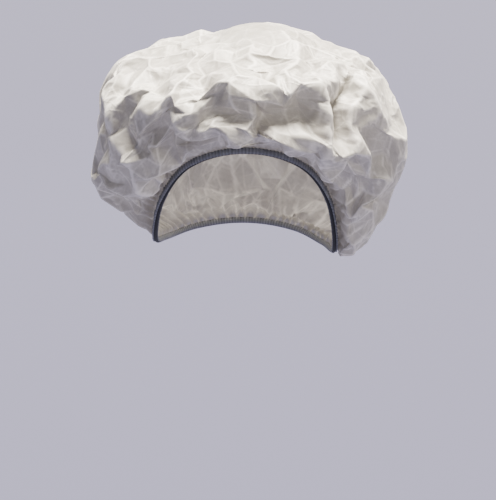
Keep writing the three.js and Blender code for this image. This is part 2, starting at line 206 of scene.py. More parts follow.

# The cloth's colour along creases. A point that stands out from its neighbours by SHARP_LIFT is fully pale,
# a valley as sharp is less so, and one sharper than DEEP_VALLEY times that is darkened with painted shade.
SHARP_LIFT = 0.3 * MM
VALLEY_TONE, DEEP_VALLEY, VALLEY_SHADE_MOST = 0.4, 1.2, 0.8
CREASE_TONE, PALE_TONE, TUCK_SHADE_TONE = 0.85, 0.5, 1.2  # of all creases, of crisp ridges and of the painted shade along crisp tucks

# The hem's section, out from the elastic's middle and down from it, and the ruffle of its face and edges.
HEM_INSIDE, HEM_OUTSIDE, HEM_SEAM = 1.6 * MM, 2.2 * MM, 0.7 * MM
HEM_BOTTOM, HEM_TOP = 0.2 * MM, -4.1 * MM
RUFFLE, RUFFLE_LIFT, RUFFLE_SAG = 1.4 * MM, 1.2 * MM, 0.4 * MM
HEM_RUCHES, HEM_BUNCHES = 210, 37  # pleats in the hem, and groups in which they are deep
HEM_SLANT = 1.1  # degrees by which a pleat leans from the hem's bottom to its top
ELASTIC_RADIUS, ELASTIC_SIDES = 1.3 * MM, 12
HEM_STEPS, ELASTIC_STEPS = 1250, 360
# Share of the colour that painted shade leaves in the dips between the pleats, grains to the metre, and
# relief.
HEM_SHADE_AND_GRAIN, ELASTIC_SHADE_AND_GRAIN = (0.35, 900.0, 0.0005), (0.5, 1500.0, 0.0003)

# The crown's cloth, in waves or cells to the metre. The sway bends its fine crease lines by so many metres.
SWAY_SCALE, SWAY = 22.0, 0.012
CLOUD_SCALE, FIBRE_SCALE = 45.0, 900.0
BROAD_LINES, SLIGHT_LINES = (22.0, 0.035), (58.0, 0.07)  # cells, and a line's width as a share of a cell
CLOUDS_WITH_LINES = (0.42, 0.62)

CROWN_SEED, SOFT_SEED, GATHER_SEED, RUCHE_SEED, HEM_SEED, BUNCH_SEED = 11, 4, 3, 5, 7, 9

STATIONS = {name: np.array([row[i] for row in STATION_ROWS]) for i, name in enumerate(STATION_COLUMNS)}
FOLDS = [dict(zip(FOLD_COLUMNS, row)) for row in FOLD_ROWS]


class Form:
    """The cap's smooth form, from the sizes that the user sets."""

    def __init__(self, sizes):
        self.half_width = sizes.crown_width / 2
        self.front = sizes.crown_front_reach
        self.back = sizes.crown_back_reach
        self.opening = (sizes.opening_width / 2, sizes.opening_length / 2)
        self.drop = sizes.opening_drop
        self.height = sizes.opening_drop + sizes.crown_rise
        self.lean = np.array([sizes.top_aside, sizes.top_back, 0.0])
        self.edge = -sizes.crown_edge
        self.collar = sizes.collar_height

    @staticmethod
    def station(column, azimuth):
        """One column of the stations at any azimuths, as a smooth closed curve through the rows."""
        values = STATIONS[column]
        place = np.mod(azimuth, FULL_TURN) / (FULL_TURN / len(values))
        row = np.floor(place).astype(int)
        f = place - row
        before, here, following, after = (values[(row + k) % len(values)] for k in (-1, 0, 1, 2))
        bend = 2 * before - 5 * here + 4 * following - after
        turn = 3 * here - before - 3 * following + after
        return 0.5 * (2 * here + (following - before) * f + bend * f**2 + turn * f**3)

    @staticmethod
    def ellipse(azimuth, half_width, half_length):
        angle = np.radians(azimuth)
        return 1 / np.hypot(np.sin(angle) / half_width, np.cos(angle) / half_length)

    @staticmethod
    def outward(azimuth):
        angle = np.radians(azimuth)
        return np.stack([np.sin(angle), -np.cos(angle), np.zeros_like(angle)], -1)

    def opening_radius(self, azimuth):
        return self.ellipse(azimuth, *self.opening)

    def reach(self, azimuth):
        in_front = np.cos(np.radians(azimuth)) > 0
        return self.ellipse(azimuth, self.half_width, np.where(in_front, self.front, self.back))

    def level(self, share):
        return share * self.height - self.drop / 2

    def elastic_point(self, azimuth):
        point = self.outward(azimuth) * self.opening_radius(azimuth)[..., None]
        point[..., 2] = self.level(self.station("band", azimuth))
        return point

    def across_elastic(self, azimuth, out, down):
        """Points by how far out and how far down they lie from the elastic's middle."""
        step = 0.5
        along = unit(self.elastic_point(azimuth + step) - self.elastic_point(azimuth - step))
        away = self.outward(azimuth)
        away = unit(away - along * (away * along).sum(-1, keepdims=True))
        below = np.cross(along, away)
        out, down = np.broadcast_arrays(np.asarray(out, float), np.asarray(down, float))
        return self.elastic_point(azimuth) + away * out[..., None] + below * down[..., None]

    def points(self, azimuth, up):
        """The points of the form at azimuths and shares of the way from the hem to the top."""
        azimuth, up = np.broadcast_arrays(np.asarray(azimuth, float), np.asarray(up, float))
        rim, full = self.opening_radius(azimuth), self.reach(azimuth)

        def place(radius, share, knot, side=azimuth):
            point = self.outward(side) * np.asarray(radius)[..., None]
            point[..., 2] = self.level(share)
            return point + self.lean * knot**2

        def control(name, knot):
            out, share = self.station(name + "_out", azimuth), self.station(name + "_up", azimuth)
            return place(rim + out * (full - rim), share, knot)

        opposite = azimuth + FULL_TURN / 2
        knots = np.array([EDGE, COLLAR, TUCK, LOBE, BELLY, SHOULDER, RING_AT, TOP, 2 - RING_AT])
        controls = np.stack([
            self.across_elastic(azimuth, 0.0, self.edge),
            self.across_elastic(azimuth, self.collar, self.edge - self.collar),
            control("tuck", TUCK),
            control("lobe", LOBE),
            control("belly", BELLY),
            control("shoulder", SHOULDER),
            place(RING * rim, self.station("ring_up", azimuth), RING_AT),
            place(np.zeros_like(rim), np.ones_like(rim), TOP),
            place(RING * self.opening_radius(opposite), self.station("ring_up", opposite), RING_AT, opposite),
        ])
        return smooth_through(knots, controls, up)

    def normals(self, azimuth, up):
        step_up, step_round = 0.004, 1.0
        below = np.minimum(up, 1 - 2 * step_up)
        rising = self.points(azimuth, below + step_up) - self.points(azimuth, np.maximum(below - step_up, 0))
        round_it = self.points(azimuth + step_round, below) - self.points(azimuth - step_round, below)
        return unit(np.cross(round_it, rising))


def unit(vectors):
    return vectors / np.maximum(np.linalg.norm(vectors, axis=-1, keepdims=True), 1e-12)


def smooth_step(value, low, high):
    t = np.clip((value - low) / (high - low), 0, 1)
    return t * t * (3 - 2 * t)


def smooth_through(knots, controls, at):
    """A smooth curve through control points at uneven knots. The last one only shapes the curve's end."""
    last = len(knots) - 2
    k = np.clip(np.searchsorted(knots[: last + 1], at, side="left") - 1, 0, last - 1)
    pick = np.arange(len(at))

    def slope(i):
        low, high = np.maximum(i - 1, 0), i + 1
        return (controls[high, pick] - controls[low, pick]) / (knots[high] - knots[low])[:, None]

    span = (knots[k + 1] - knots[k])[:, None]
    f = (at - knots[k])[:, None] / span
    start, end = controls[k, pick], controls[k + 1, pick]
    return (
        start * (2 * f**3 - 3 * f**2 + 1) + slope(k) * (f**3 - 2 * f**2 + f) * span
        + end * (3 * f**2 - 2 * f**3) + slope(k + 1) * (f**3 - f**2) * span
    )


def distance_to_line(points, line):
    best = np.full(len(points), np.inf)
    for start, end in zip(line[:-1], line[1:]):
        along = end - start
        f = np.clip((points - start) @ along / (along @ along), 0, 1)
        best = np.minimum(best, np.linalg.norm(points - start - f[:, None] * along, axis=1))
    return best


def crest(away, reach, crisp):
    """A fold's height at a distance from its crest: 1 at the crest and 0 from reach outwards."""
    tent = np.clip(1 - away / reach, 0, 1)
    return crisp * tent + (1 - crisp) * smooth_step(tent, 0, 1)


def shortest_turn(start, end):
    """Degrees from one azimuth to another by the shorter way round."""
    return np.mod(end - start + FULL_TURN / 2, FULL_TURN) - FULL_TURN / 2


def fold_line(form, fold):
    f = np.linspace(0, 1, FOLD_STEPS + 1)
    turn = shortest_turn(fold["from_azimuth"], fold["to_azimuth"])
    climb = fold["to_up"] - fold["from_up"]
    return form.points(fold["from_azimuth"] + turn * f, fold["from_up"] + climb * f)


def fold_rise(form, points):
    """How far the main folds push the cloth out: the highest ridge and the deepest dent here."""
    ridge, dent = np.zeros(len(points)), np.zeros(len(points))
    for fold in FOLDS:
        away = distance_to_line(points, fold_line(form, fold))
        rise = fold["rise"] * form.half_width * crest(away, fold["reach"] * form.half_width, fold["crisp"])
        ridge, dent = np.maximum(ridge, rise), np.minimum(dent, rise)
    return ridge + dent


def fold_lines_and_shade(form, points):
    """How much a crisp ridge pales the cloth here, and how much painted shade darkens it along a crisp tuck,
    from 0 to 1.
    """
    pale, tuck_shade = np.zeros(len(points)), np.zeros(len(points))
    for fold in FOLDS:
        if fold["crisp"] >= MARKED_CRISP:
            away = distance_to_line(points, fold_line(form, fold))
            if fold["rise"] > 0:
                pale = np.maximum(pale, np.clip(1 - away / PALE_REACH, 0, 1))
            else:
                tuck_shade = np.maximum(tuck_shade, np.clip(1 - away / TUCK_SHADE_REACH, 0, 1))
    return pale, tuck_shade


def gather_wave(azimuth, count, seed):
    """So many pleats of uneven width round the opening: 1 at their crisp crests and -1 between them."""
    rng = np.random.default_rng(seed)
    angle = np.radians(azimuth)
    drift = sum(
        rng.uniform(0.3, 1.0) * np.cos(k * angle + rng.uniform(0, 2 * np.pi)) for k in (3, 5, 8, 13)
    )
    return 1 - 2 * np.abs(np.sin(count * angle / 2 + drift))


def patches(points, rng):
    """A soft field from 0 to 1 over the cloth, in patches 20 to 50 mm wide."""
    field = np.zeros(len(points))
    for _ in range(PATCH_WAVES):
        direction = unit(rng.normal(size=3)) * rng.uniform(*PATCH_TURNS)
        field += np.sin(points @ direction + rng.uniform(0, 2 * np.pi))
    return smooth_step(field, -PATCH_WAVES / 2, PATCH_WAVES / 2)


def crumple(points, cell, rng):
    """Crisp ridges, from 0 to 1, along the borders of uneven facets about one cell wide."""
    count = max(8, int(1.3 * len(points) * POINT_SPACING**2 / cell**2))
    seeds = points[rng.choice(len(points), count, replace=False)]
    weight = rng.uniform(0.35, 1.0, count)
    tree = KDTree(count)
    for i, seed in enumerate(seeds):
        tree.insert(seed, i)
    tree.balance()
    ridge = np.empty(len(points))
    for k, point in enumerate(points):
        (_, first, near), (_, second, far) = tree.find_n(point, 2)
        ridge[k] = max(0.0, 1 - (far - near) / (CELL_RIDGE * cell)) * weight[first] * weight[second]
    return ridge


def ring_mesh(levels, rng):
    """Azimuths, shares of the way up and triangles of a dome of rings. Each ring has its own number of
    points. All points but the lowest ring's and the top are shifted a little by chance."""
    azimuths, ups, starts = [], [], []
    total = 0
    for (up, sides), (following, _) in zip(levels, levels[1:] + [(1.0, 1)]):
        uneven = UNEVEN if up > 0 else 0.0
        azimuths.append((np.arange(sides) + uneven * rng.uniform(-1, 1, sides)) * FULL_TURN / sides)
        ups.append(up + uneven * rng.uniform(-1, 1, sides) * (following - up))
        starts.append(total)
        total += sides
    faces = []
    for (_, low_n), (_, high_n), low, high in zip(levels[:-1], levels[1:], starts[:-1], starts[1:]):
        i = j = 0
        while i < low_n or j < high_n:
            a, b = low + i % low_n, high + j % high_n
            if j >= high_n or (i < low_n and (i + 1) * high_n <= (j + 1) * low_n):
                i += 1
                faces.append((a, low + i % low_n, b))
            else:
                j += 1
                faces.append((a, high + j % high_n, b))
    last_n, last = levels[-1][1], starts[-1]
    faces += [(last + i, last + (i + 1) % last_n, total) for i in range(last_n)]
    return np.append(np.concatenate(azimuths), 0.0), np.append(np.concatenate(ups), 1.0), faces


def subdivide(azimuth, up, faces, offset):
    """Splits each triangle into four. A new point lies midway along its side, and so does its offset."""
    a, b, c = np.asarray(faces).T
    sides = np.sort(np.concatenate([np.stack(pair, 1) for pair in ((a, b), (b, c), (c, a))]), axis=1)
    pairs, which = np.unique(sides, axis=0, return_inverse=True)
    ab, bc, ca = which.reshape(3, -1) + len(up)
    split = [np.stack(three, 1) for three in ((a, ab, ca), (ab, b, bc), (ca, bc, c), (ab, bc, ca))]
    first, second = pairs.T
    start = np.where(up[first] < 1, azimuth[first], azimuth[second])
    end = np.where(up[second] < 1, azimuth[second], azimuth[first])
    turn = shortest_turn(start, end)
    return (
        np.append(azimuth, start + turn / 2), np.append(up, (up[first] + up[second]) / 2),
        np.concatenate(split), np.concatenate([offset, (offset[first] + offset[second]) / 2]),
    )


def folded(form, azimuth, up):
    """Points of the form with its main folds, and the form's normals."""
    points, normals = form.points(azimuth, up), form.normals(azimuth, up)
    rise = smooth_step(up, COLLAR, TUCK) * fold_rise(form, points)
    return points + normals * rise[:, None], normals


def crown_levels(form):
    """Rings from the hem to the top, as shares of the way up and numbers of points. They lie closer
    together, and have more points, near the gathers."""
    check = np.arange(0, FULL_TURN, 10.0)
    probe = 0.01
    levels, up = [], 0.0
    while up < 1 - 1e-6:
        ring = form.points(check, np.full(len(check), up))
        girth = np.linalg.norm(np.roll(ring, -1, 0) - ring, axis=1).sum()
        coarse = float(smooth_step(up, FINE_UP / 2, FINE_UP))
        step = FACET_AT_HEM + (FACET - FACET_AT_HEM) * coarse
        levels.append((up, max(FEWEST_SIDES, round(girth / step))))
        ahead = form.points(check, np.full(len(check), min(up + probe, 1.0)))
        speed = np.linalg.norm(ahead - ring, axis=1).mean() / probe
        up += step * RING_SPACING / speed
    return levels


def edge_pairs(faces):
    corners = np.asarray(faces)
    pairs = np.concatenate([corners[:, [0, 1]], corners[:, [1, 2]], corners[:, [2, 0]]])
    return np.unique(np.sort(pairs, axis=1), axis=0)


def mesh_object(name, points, faces):
    mesh = bpy.data.meshes.new(name)
    mesh.from_pydata(np.asarray(points).tolist(), [], np.asarray(faces).tolist())
    mesh.polygons.foreach_set("use_smooth", [True] * len(mesh.polygons))
    mesh.update()
    piece = bpy.data.objects.new(name, mesh)
    bpy.context.scene.collection.objects.link(piece)
    return piece


def buckle(points, faces, held, growth, stiffness):
    """Where the points come to when the cloth grows by a share in its own plane, so that it buckles into
    creases. held is how firmly each point keeps its place, from 0 to 1."""
    scene = bpy.context.scene
    piece = mesh_object("growing_cloth", points, faces)
    group = piece.vertex_groups.new(name="held")
    for level in np.unique(np.round(held, 2)):
        group.add(np.flatnonzero(np.round(held, 2) == level).tolist(), float(level), "REPLACE")
    cloth = piece.modifiers.new("cloth", "CLOTH")
    settings = cloth.settings
    settings.quality = CLOTH_QUALITY
    settings.bending_stiffness = stiffness
    settings.vertex_group_mass = "held"
    settings.shrink_min = -growth
    settings.effector_weights.gravity = 0.0
    cloth.collision_settings.use_collision = False
    for step in range(1, CLOTH_FRAMES + 1):
        scene.frame_set(step)
    shaped = piece.evaluated_get(bpy.context.evaluated_depsgraph_get())
    settled = get_points(shaped.to_mesh())
    shaped.to_mesh_clear()
    bpy.data.objects.remove(piece)
    scene.frame_set(1)
    return settled


def among_neighbors(values, edges):
    """The mean of each point's neighbours."""
    ends = np.concatenate([edges, edges[:, ::-1]])
    count = np.bincount(ends[:, 0], minlength=len(values))[:, None]
    sums = [np.bincount(ends[:, 0], values[ends[:, 1], axis], len(values)) for axis in range(3)]
    return np.stack(sums, 1) / count


def smoothed(values, edges, rounds):
    for _ in range(rounds):
        values = (values + among_neighbors(values, edges)) / 2
    return values


def creased_offset(form, azimuth, up, faces, offset, growth, stiffness, rounds):
    """The offset of the cloth from its folded form once it has buckled. The broad share of the movement
    is taken out again, so that the cap keeps its outline."""
    base, _ = folded(form, azimuth, up)
    held = HOLD + HOLD_AT_HEM * np.clip(1 - up / NEAR_HEM, 0, 1) + HOLD_OVER_TOP * smooth_step(up, *HELD_TOP)
    settled = buckle(base + offset, faces, np.where(up < FIXED_UP, 1.0, held), growth, stiffness)
    moved = settled - base - offset
    return offset + moved - smoothed(moved, edge_pairs(faces), rounds)


def buckled_cloth(form, rng):
    """The crown's azimuths, shares of the way up, triangles and offsets once every stage has creased it."""
    azimuth, up, faces = ring_mesh(crown_levels(form), rng)
    offset = form.normals(azimuth, up) * rng.normal(0, FIRST_BUMPS, (len(up), 1))
    offset = offset * smooth_step(up, *BUMPS_FROM)[:, None]
    for growth, stiffness, rounds, splits in CLOTH_STAGES:
        offset = creased_offset(form, azimuth, up, faces, offset, growth, stiffness, rounds)
        for _ in range(splits):
            azimuth, up, faces, offset = subdivide(azimuth, up, faces, offset)
            soft = SOFTENING * patches(form.points(azimuth, up), np.random.default_rng(SOFT_SEED))[:, None]
            offset = offset + soft * (smoothed(offset, edge_pairs(faces), 1) - offset)
    return azimuth, up, faces, offset


def pleats(azimuth, up, brow):
    """How far the gathers, and the finer ruches next to the hem, push the cloth out."""
    fade = np.clip(1 - up / GATHERS_UP, 0, 1) ** 2 * smooth_step(up, 0, COLLAR)
    gathers = GATHER_DEPTH * fade * (1 - BROW_CALM * brow) * gather_wave(azimuth, GATHERS, GATHER_SEED)
    ruches = RUCHE_DEPTH * np.clip(1 - up / NEAR_HEM, 0, 1) * smooth_step(up, *RUCHES_FROM)
    return gathers + ruches * gather_wave(azimuth, RUCHES, RUCHE_SEED)


def crown_shape(form):
    """The crown's points and triangles, and how much its creases pale the cloth at each point, or darken
    it with painted shade in deep valleys and along crisp tucks where negative."""
    rng = np.random.default_rng(CROWN_SEED)
    azimuth, up, faces, offset = buckled_cloth(form, rng)
    edges = edge_pairs(faces)
    base, normals = folded(form, azimuth, up)
    away_from_hem = smooth_step(up, *FINE_CREASES_FROM)
    ahead = np.cos(np.radians(azimuth))
    brow = smooth_step(ahead, *BROW)
    small = crumple(base, CELL, rng) * smooth_step(patches(base, rng), *CREASED_PATCHES) * away_from_hem
    calm = 1 - TOP_CALM * smooth_step(up, *CALM_TOP) - BACK_CALM * smooth_step(-ahead, *BACK)
    calm = calm * (1 - CENTER_CALM * smooth_step(up, *CALM_CENTER))
    low, high = (share + delay * brow for share, delay in zip(CREASES_FROM, BROW_DELAY))
    points = base + offset * (calm * smooth_step(up, low, high))[:, None]
    points = points + normals * (pleats(azimuth, up, brow) + CELL_RISE * small * calm)[:, None]
    points = np.where(up[:, None] > EVEN_TOP, smoothed(points, edges, EVEN_ROUNDS), points)
    # Ridges and mild valleys pale the cloth, and deep valleys are darkened with painted shade.
    lift = ((points - among_neighbors(points, edges)) * normals).sum(1) / SHARP_LIFT
    crease_tone_and_shade = np.clip(np.maximum(lift, -VALLEY_TONE * lift), 0, 1) - np.clip(-lift - DEEP_VALLEY, 0, VALLEY_SHADE_MOST)
    # Pale lines along crisp ridges, and painted shade along crisp tucks.
    pale, tuck_shade = fold_lines_and_shade(form, form.points(azimuth, up))
    return points, faces, (CREASE_TONE * crease_tone_and_shade + PALE_TONE * pale - TUCK_SHADE_TONE * tuck_shade) * away_from_hem


def get_points(mesh):
    points = np.empty(len(mesh.vertices) * 3)
    mesh.vertices.foreach_get("co", points)
    return points.reshape(-1, 3)


def loop_mesh(form, steps, section_at):
    """Points and faces of a closed loop round the opening. section_at gives, for azimuths, how far out and
    how far down the section's corners lie from the elastic's middle."""
    azimuth = np.arange(steps) * FULL_TURN / steps
    out, down = section_at(azimuth)
    corners = out.shape[1]
    points = form.across_elastic(np.repeat(azimuth, corners), out.ravel(), down.ravel())
    faces = []
    for i in range(steps):
        for k in range(corners):
            here, following = i * corners, (i + 1) % steps * corners
            after = (k + 1) % corners
            faces.append((here + k, following + k, following + after, here + after))
    return points, faces


def hem_wave(azimuth):
    """How far the hem's pleats stand out, from 0 to 1."""
    bunches = 0.55 + 0.45 * gather_wave(azimuth, HEM_BUNCHES, BUNCH_SEED) ** 2
    return (1 + gather_wave(azimuth, HEM_RUCHES, HEM_SEED)) / 2 * bunches


def hem_section(azimuth):
    """The ruffled casing round the elastic."""
    low, high = hem_wave(azimuth), hem_wave(azimuth + HEM_SLANT)
    flat = np.zeros_like(low)
    ruffle, lift = RUFFLE * high, RUFFLE_LIFT * high
    out, down = zip(
        (HEM_INSIDE + flat, HEM_BOTTOM + flat),
        (HEM_OUTSIDE + RUFFLE * low, HEM_BOTTOM + RUFFLE_SAG * low),
        (HEM_OUTSIDE + ruffle, 0.4 * HEM_TOP + flat),
        (HEM_SEAM + 0.9 * ruffle, HEM_TOP - lift),
        (flat - HEM_SEAM, HEM_TOP - 0.5 * lift),
        (flat - HEM_OUTSIDE, 0.4 * HEM_TOP + flat),
        (flat - HEM_OUTSIDE, HEM_BOTTOM + flat),
        (flat - HEM_INSIDE, HEM_BOTTOM + flat),
        (flat - HEM_INSIDE, flat - HEM_INSIDE),
        (HEM_INSIDE + flat, flat - HEM_INSIDE),
    )
    return np.stack(out, 1), np.stack(down, 1)


def elastic_section(azimuth):
    angle = -np.arange(ELASTIC_SIDES) * 2 * np.pi / ELASTIC_SIDES
    ones = np.ones((len(azimuth), 1))
    return ones * ELASTIC_RADIUS * np.cos(angle), ones * ELASTIC_RADIUS * np.sin(angle)


class Socket:
    """A shader value that Python's own operators work on."""

    def __init__(self, tree, out):
        self.tree, self.out = tree, out

    def _math(self, operation, other, flipped=False):
        first, second = (other, self) if flipped else (self, other)
        return self.tree.node("ShaderNodeMath", {"operation": operation}, {0: first, 1: second})

    def __add__(self, other):
        return self._math("ADD", other)

    def __sub__(self, other):
        return self._math("SUBTRACT", other)

    def __rsub__(self, other):
        return self._math("SUBTRACT", other, flipped=True)

    def __mul__(self, other):
        return self._math("MULTIPLY", other)

    __radd__ = __add__
    __rmul__ = __mul__


class Shader:
    """A material's node tree, with one method that makes any node."""

    def __init__(self, name):
        self.material = bpy.data.materials.new(name)
        self.material.use_nodes = True
        self.tree = self.material.node_tree
        self.tree.nodes.clear()

    def node(self, kind, settings=None, inputs=None, output=0):
        made = self.tree.nodes.new(kind)
        for key, value in (settings or {}).items():
            setattr(made, key, value)
        for key, value in (inputs or {}).items():
            if isinstance(value, Socket):
                self.tree.links.new(value.out, made.inputs[key])
            else:
                made.inputs[key].default_value = value
        return Socket(self, made.outputs[output])

    def mix(self, factor, first, second):
        settings = {"data_type": "RGBA"}
        return self.node("ShaderNodeMix", settings, {0: factor, 6: first, 7: second}, output=2)

    def finish(self, surface):
        out = self.tree.nodes.new("ShaderNodeOutputMaterial")
        self.tree.links.new(surface.out, out.inputs["Surface"])
        return self.material


def rgba(color):
    return (color[0], color[1], color[2], 1.0)


def nonwoven(name, light, shade, see_through):
    """Thin spunbond cloth: light passes through it, and its creases are paler than its faces.
    Painted shade darkens its deep valleys and crisp tucks.
    """
    shader = Shader(name)
    place = shader.node("ShaderNodeNewGeometry", output="Position")

    def noise(scale, detail, output=0):
        inputs = {"Vector": place, "Scale": scale, "Detail": detail}
        return shader.node("ShaderNodeTexNoise", None, inputs, output)

    def ramp(value, low, high, at_low, at_high):
        return shader.node("ShaderNodeMapRange", {"clamp": True}, {
            "Value": value, "From Min": low, "From Max": high, "To Min": at_low, "To Max": at_high})

    sway = noise(SWAY_SCALE, 2.0, "Color")
    bent = shader.node(
        "ShaderNodeVectorMath", {"operation": "MULTIPLY_ADD"}, {0: sway, 1: (SWAY,) * 3, 2: place})
    clouds, fibres = noise(CLOUD_SCALE, 5.0), noise(FIBRE_SCALE, 4.0)

    def lines(scale, width):
        edge = shader.node(
            "ShaderNodeTexVoronoi", {"feature": "DISTANCE_TO_EDGE"}, {"Vector": bent, "Scale": scale})
        return ramp(edge, 0.0, width, 1.0, 0.0)

    broad, slight = lines(*BROAD_LINES), lines(*SLIGHT_LINES)
    where = ramp(clouds, *CLOUDS_WITH_LINES, 0.0, 1.0)
    # The crease attribute pales the cloth along creases, and darkens it with painted shade in deep valleys and
    # along crisp tucks.
    crease_tone_and_shade = shader.node("ShaderNodeAttribute", {"attribute_name": "crease_tone_and_shade"}, output="Fac")
    marks = broad * where * 0.35 + slight * where * 0.15
    tone = clouds * 0.5 + fibres * 0.25 + crease_tone_and_shade * 0.7 + marks - 0.08
    color = shader.mix(tone, rgba(shade), rgba(light))
    height = fibres * 0.12 + broad * where * 0.5 + slight * where * 0.35
    bump = shader.node("ShaderNodeBump", None, {"Strength": 0.6, "Distance": 0.0009, "Height": height})
    cloth = shader.node("ShaderNodeBsdfPrincipled", None, {
        "Base Color": color, "Roughness": 0.42, "Sheen Weight": 0.06, "Normal": bump,
        "Alpha": 1 - see_through})
    through = shader.node("ShaderNodeBsdfTranslucent", None, {"Color": rgba(light), "Normal": bump})
    return shader.finish(shader.node("ShaderNodeMixShader", None, {"Fac": 0.06, 1: cloth, 2: through}))


def plain_cloth(name, color, pleat_shade_share, grain, relief):
    """Closely gathered cloth, with painted shade between the pleats that leaves a given share of its colour.
    """
    shader = Shader(name)
    place = shader.node("ShaderNodeTexCoord", output="Object")
    noise = shader.node("ShaderNodeTexNoise", None, {"Vector": place, "Scale": grain, "Detail": 3.0})
    raised = shader.node("ShaderNodeAttribute", {"attribute_name": "raised"}, output="Fac")
    # Painted shade between the pleats: the colour darkens where the raised share is low.
    mixed = shader.mix(raised * (noise * 0.4 + 0.8), rgba([c * pleat_shade_share for c in color]), rgba(color))
    bump = shader.node("ShaderNodeBump", None, {"Strength": 0.6, "Distance": relief, "Height": noise})
    return shader.finish(shader.node(
        "ShaderNodeBsdfPrincipled", None, {"Base Color": mixed, "Roughness": 0.7, "Normal": bump},
    ))


class CapSizes(bpy.types.PropertyGroup):
    """Sizes of the cap in the form that it has when worn."""

    opening_width: bpy.props.FloatProperty(
        name="Opening width", description="Width of the head opening",
        default=160 * MM, unit="LENGTH")
    opening_length: bpy.props.FloatProperty(
        name="Opening length", description="Length of the head opening, front to back",
        default=186 * MM, unit="LENGTH")
    opening_drop: bpy.props.FloatProperty(
        name="Opening drop", description="Height of the opening's front above its back",
        default=124 * MM, unit="LENGTH")
    crown_rise: bpy.props.FloatProperty(
        name="Crown rise", description="Height of the top above the opening's front",
        default=80 * MM, unit="LENGTH")
    crown_width: bpy.props.FloatProperty(
        name="Crown width", description="Full width of the puffed crown",
        default=268 * MM, unit="LENGTH")
    crown_front_reach: bpy.props.FloatProperty(
        name="Front reach", description="How far the crown puffs out in front",
        default=116 * MM, unit="LENGTH")
    crown_back_reach: bpy.props.FloatProperty(
        name="Back reach", description="How far the crown puffs out behind",
        default=142 * MM, unit="LENGTH")
    top_aside: bpy.props.FloatProperty(
        name="Top aside", description="How far the top lies towards the wearer's left",
        default=12 * MM, unit="LENGTH")
    top_back: bpy.props.FloatProperty(
        name="Top back", description="How far the top lies behind the opening's middle",
        default=14 * MM, unit="LENGTH")
    crown_edge: bpy.props.FloatProperty(
        name="Crown edge", description="Height of the crown's edge above the elastic's middle",
        default=4.2 * MM, unit="LENGTH")
    collar_height: bpy.props.FloatProperty(
        name="Collar height", description="How far the cloth stands up before it turns out",
        default=3.2 * MM, unit="LENGTH")
    round_width: bpy.props.FloatProperty(
        name="Flat width", description="Width of the flat round of cloth that the cap is cut from",
        default=610 * MM, unit="LENGTH")


class CapColors(bpy.types.PropertyGroup):
    """Colours of the cap."""

    light: bpy.props.FloatVectorProperty(
        name="Cloth", description="Cloth where it is creased or lit",
        subtype="COLOR", default=(0.95, 0.92, 0.855), min=0, max=1)
    shade: bpy.props.FloatVectorProperty(
        name="Cloth between creases", description="Cloth on its smooth faces",
        subtype="COLOR", default=(0.26, 0.245, 0.21), min=0, max=1)
    # The hem's grey-blue comes partly from the dark elastic showing through its thin cloth and partly is
    # painted shade.
    hem: bpy.props.FloatVectorProperty(
        name="Hem", description="Ruched hem",
        subtype="COLOR", default=(0.33, 0.345, 0.365), min=0, max=1)
    # The elastic's dark colour is partly its own and partly painted shade for the dark line under the hem.
    elastic: bpy.props.FloatVectorProperty(
        name="Elastic", description="Covered elastic",
        subtype="COLOR", default=(0.02, 0.022, 0.026), min=0, max=1)
    see_through: bpy.props.FloatProperty(
        name="See-through", description="Share of light that passes straight through",
        default=0.06, min=0, max=1)


class StageSettings(bpy.types.PropertyGroup):
    """Camera, lights and floor."""

    distance: bpy.props.FloatProperty(
        name="Camera distance", description="From the front of the opening",
        default=1.6, unit="LENGTH")
    elevation: bpy.props.FloatProperty(
        name="Camera elevation", description="Above the horizon",
        default=math.radians(20), subtype="ANGLE")
    pixel: bpy.props.FloatProperty(
        name="Pixel size", description="Size of a pixel at the front of the opening",
        default=0.83 * MM, unit="LENGTH")
    floor_drop: bpy.props.FloatProperty(
        name="Floor drop", description="Floor below the lowest point of the cap",
        default=0.45, unit="LENGTH")


IMAGE_WIDTH, IMAGE_HEIGHT = 496, 500
SENSOR = 36.0  # millimetres
FRONT_X, FRONT_Y = 245.0, 152.5  # pixel of the photograph at which the opening's front shows
FLOOR_SIZE, FLOOR_COLOR = 12.0, (0.062, 0.064, 0.11)
WORLD_COLOR, WORLD_STRENGTH = (0.56, 0.56, 0.66), 0.13
# Lights: name, type, place from which they point at the cap, size (metres, or degrees for the sun),
# strength (watts, or watts to the square metre for the sun) and colour.
LIGHTS = (
    ("key", "SUN", (0.12, 0.36, 1.0), 34.0, 27.0, (1.0, 0.92, 0.82)),
    ("side", "AREA", (1.4, -1.0, 0.6), 0.5, 11.0, (1.0, 0.91, 0.78)),
    ("fill", "AREA", (-1.6, -1.8, 0.7), 1.6, 3.0, (0.85, 0.9, 1.0)),
    ("back", "AREA", (-0.7, 1.5, 0.4), 1.0, 4.0, (0.97, 0.97, 1.0)),
)


class CAP_OT_crown(bpy.types.Operator):
    """Builds the puffed crown of crumpled cloth"""

    bl_idname = "cap.crown"
    bl_label = "Crown"

    def execute(self, context):
        sizes, colors = context.scene.cap_sizes, context.scene.cap_colors
        form = Form(sizes)
        points, faces, crease_tone_and_shade = crown_shape(form)
        crown = mesh_object("crown_cloth", points, faces)
        crown.data.materials.append(nonwoven("crown_nonwoven", colors.light, colors.shade, colors.see_through))
        # Crease tones, with painted shade in deep valleys and along crisp tucks.
        marks = crown.data.attributes.new("crease_tone_and_shade", "FLOAT", "POINT")
        marks.data.foreach_set("value", crease_tone_and_shade)
        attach(crown, "root")
        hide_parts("crown")
        return {"FINISHED"}


